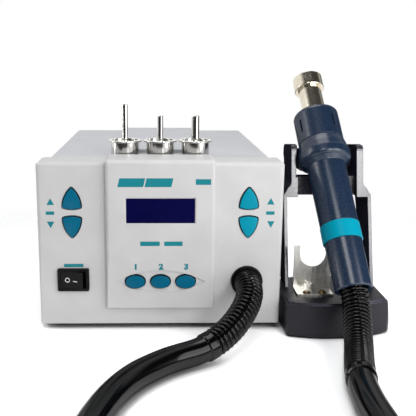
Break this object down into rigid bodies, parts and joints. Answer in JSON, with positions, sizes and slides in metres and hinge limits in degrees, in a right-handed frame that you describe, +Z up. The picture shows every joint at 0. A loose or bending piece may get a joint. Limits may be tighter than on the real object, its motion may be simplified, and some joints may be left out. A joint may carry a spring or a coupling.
{
  "type": "hot air rework station",
  "caption": "Hot air rework station: cabinet with display, keys and nozzles, and a handle on a ribbed hose resting in its forked stand",
  "frame": {"origin": "on the bench under the middle of the cabinet, the stand and the handle, without the hose", "axes": "+Z up, X to the right seen from the front, the front panel faces -Y"},
  "size_m": [0.2732, 0.6508, 0.1982],
  "materials": {
    "front_moulding": "fine satin texture, moulded",
    "display_window": "dark blue display behind a clear sheet",
    "black_plastic": "black moulding",
    "board_laminate": "green solder mask",
    "key_plastic": "teal, glossy domes",
    "switch_plastic": "glossy black rocker",
    "painted_sheet": "smooth grey powder coat",
    "brass_parts": "turned brass",
    "black_rubber": "moulded rubber",
    "bright_steel": "bright nickel-plated steel",
    "core_steel": "stacked steel laminations",
    "winding": "enamelled copper wire under lacquer",
    "aluminium_parts": "extruded aluminium",
    "capacitor_sleeve": "shrink sleeve",
    "stand_plastic": "dark moulding",
    "stainless_sheet": "stainless sheet, brushed",
    "handle_plastic": "navy satin moulding",
    "ring_plastic": "turquoise moulding",
    "tube_steel": "polished stainless with a warm tint",
    "core_ceramic": "white fired ceramic",
    "resistance_wire": "dull heating wire",
    "hose_rubber": "ribbed black hose"
  },
  "bodies": {
    "cabinet_and_stand": {"front_bezel": "front_moulding", "lcd_window": "display_window", "lcd_module": "black_plastic", "display_board": "board_laminate", "key_switches": "black_plastic", "switch_housing": "black_plastic", "hose_socket": "black_plastic", "top_cover": "painted_sheet", "base_plate": "painted_sheet", "rear_panel": "painted_sheet", "inlet_socket": "black_plastic", "inlet_pins": "brass_parts", "rubber_feet": "black_rubber", "cover_screws": "bright_steel", "front_screws": "bright_steel", "blower_housing": "black_plastic", "blower_cover": "black_plastic", "blower_motor": "bright_steel", "air_duct": "black_rubber", "transformer_core": "core_steel", "transformer_coil": "winding", "main_board": "board_laminate", "board_spacers": "brass_parts", "heat_sink": "aluminium_parts", "capacitors": "capacitor_sleeve", "nozzle_pegs": "bright_steel", "stand_base": "stand_plastic", "stand_floor_plate": "core_steel", "stand_frame": "stand_plastic", "stand_pads": "black_rubber", "frame_screws": "bright_steel", "nozzle_puller": "stainless_sheet", "puller_screws": "brass_parts", "hose_left": "hose_rubber", "hose_coil": "hose_rubber", "hose_right": "hose_rubber"},
    "temp_up_key": {"temp_up_key": "key_plastic"},
    "temp_down_key": {"temp_down_key": "key_plastic"},
    "air_up_key": {"air_up_key": "key_plastic"},
    "air_down_key": {"air_down_key": "key_plastic"},
    "channel_key_1": {"channel_key_1": "key_plastic"},
    "channel_key_2": {"channel_key_2": "key_plastic"},
    "channel_key_3": {"channel_key_3": "key_plastic"},
    "power_rocker": {"power_rocker": "switch_plastic"},
    "fuse_drawer": {"fuse_drawer": "black_plastic"},
    "blower_impeller": {"blower_impeller": "black_plastic"},
    "nozzle_small": {"nozzle_small": "bright_steel"},
    "nozzle_medium": {"nozzle_medium": "bright_steel"},
    "nozzle_large": {"nozzle_large": "bright_steel"},
    "hot_air_handle": {"handle_tail": "handle_plastic", "handle_ring": "ring_plastic", "handle_body": "handle_plastic", "handle_head": "handle_plastic", "heater_tube": "tube_steel", "nozzle_collar": "tube_steel", "heater_core": "core_ceramic", "heater_wire": "resistance_wire", "air_sensor": "bright_steel"}
  },
  "joints": [
    {"name": "temp_up_key_press", "type": "slide", "parent": "cabinet_and_stand", "child": "temp_up_key", "axis": [0, 1, 0], "range_m": [0, 0.0008], "stiffness_N_per_m": 400, "springref_m": -0.002},
    {"name": "temp_down_key_press", "type": "slide", "parent": "cabinet_and_stand", "child": "temp_down_key", "axis": [0, 1, 0], "range_m": [0, 0.0008], "stiffness_N_per_m": 400, "springref_m": -0.002},
    {"name": "air_up_key_press", "type": "slide", "parent": "cabinet_and_stand", "child": "air_up_key", "axis": [0, 1, 0], "range_m": [0, 0.0008], "stiffness_N_per_m": 400, "springref_m": -0.002},
    {"name": "air_down_key_press", "type": "slide", "parent": "cabinet_and_stand", "child": "air_down_key", "axis": [0, 1, 0], "range_m": [0, 0.0008], "stiffness_N_per_m": 400, "springref_m": -0.002},
    {"name": "channel_key_1_press", "type": "slide", "parent": "cabinet_and_stand", "child": "channel_key_1", "axis": [0, 1, 0], "range_m": [0, 0.0008], "stiffness_N_per_m": 400, "springref_m": -0.002},
    {"name": "channel_key_2_press", "type": "slide", "parent": "cabinet_and_stand", "child": "channel_key_2", "axis": [0, 1, 0], "range_m": [0, 0.0008], "stiffness_N_per_m": 400, "springref_m": -0.002},
    {"name": "channel_key_3_press", "type": "slide", "parent": "cabinet_and_stand", "child": "channel_key_3", "axis": [0, 1, 0], "range_m": [0, 0.0008], "stiffness_N_per_m": 400, "springref_m": -0.002},
    {"name": "rocker_tip", "type": "hinge", "parent": "cabinet_and_stand", "child": "power_rocker", "pos_m": [-0.11035, -0.09863, 0.0409], "axis": [0, 0, 1], "range_deg": [0, 18]},
    {"name": "fuse_drawer_slide", "type": "slide", "parent": "cabinet_and_stand", "child": "fuse_drawer", "axis": [0, 1, 0], "range_m": [0, 0.014]},
    {"name": "impeller_spin", "type": "hinge", "parent": "cabinet_and_stand", "child": "blower_impeller", "pos_m": [0.02375, 0.06597, 0.0689], "axis": [1, 0, 0], "continuous": true},
    {"name": "nozzle_small_lift", "type": "slide", "parent": "cabinet_and_stand", "child": "nozzle_small", "axis": [0, 0, 1], "range_m": [0, 0.02]},
    {"name": "nozzle_medium_lift", "type": "slide", "parent": "cabinet_and_stand", "child": "nozzle_medium", "axis": [0, 0, 1], "range_m": [0, 0.02]},
    {"name": "nozzle_large_lift", "type": "slide", "parent": "cabinet_and_stand", "child": "nozzle_large", "axis": [0, 0, 1], "range_m": [0, 0.02]},
    {"name": "handle_lift", "type": "slide", "parent": "cabinet_and_stand", "child": "hot_air_handle", "axis": [0, 0, 1], "range_m": [0, 0.05]}
  ]
}
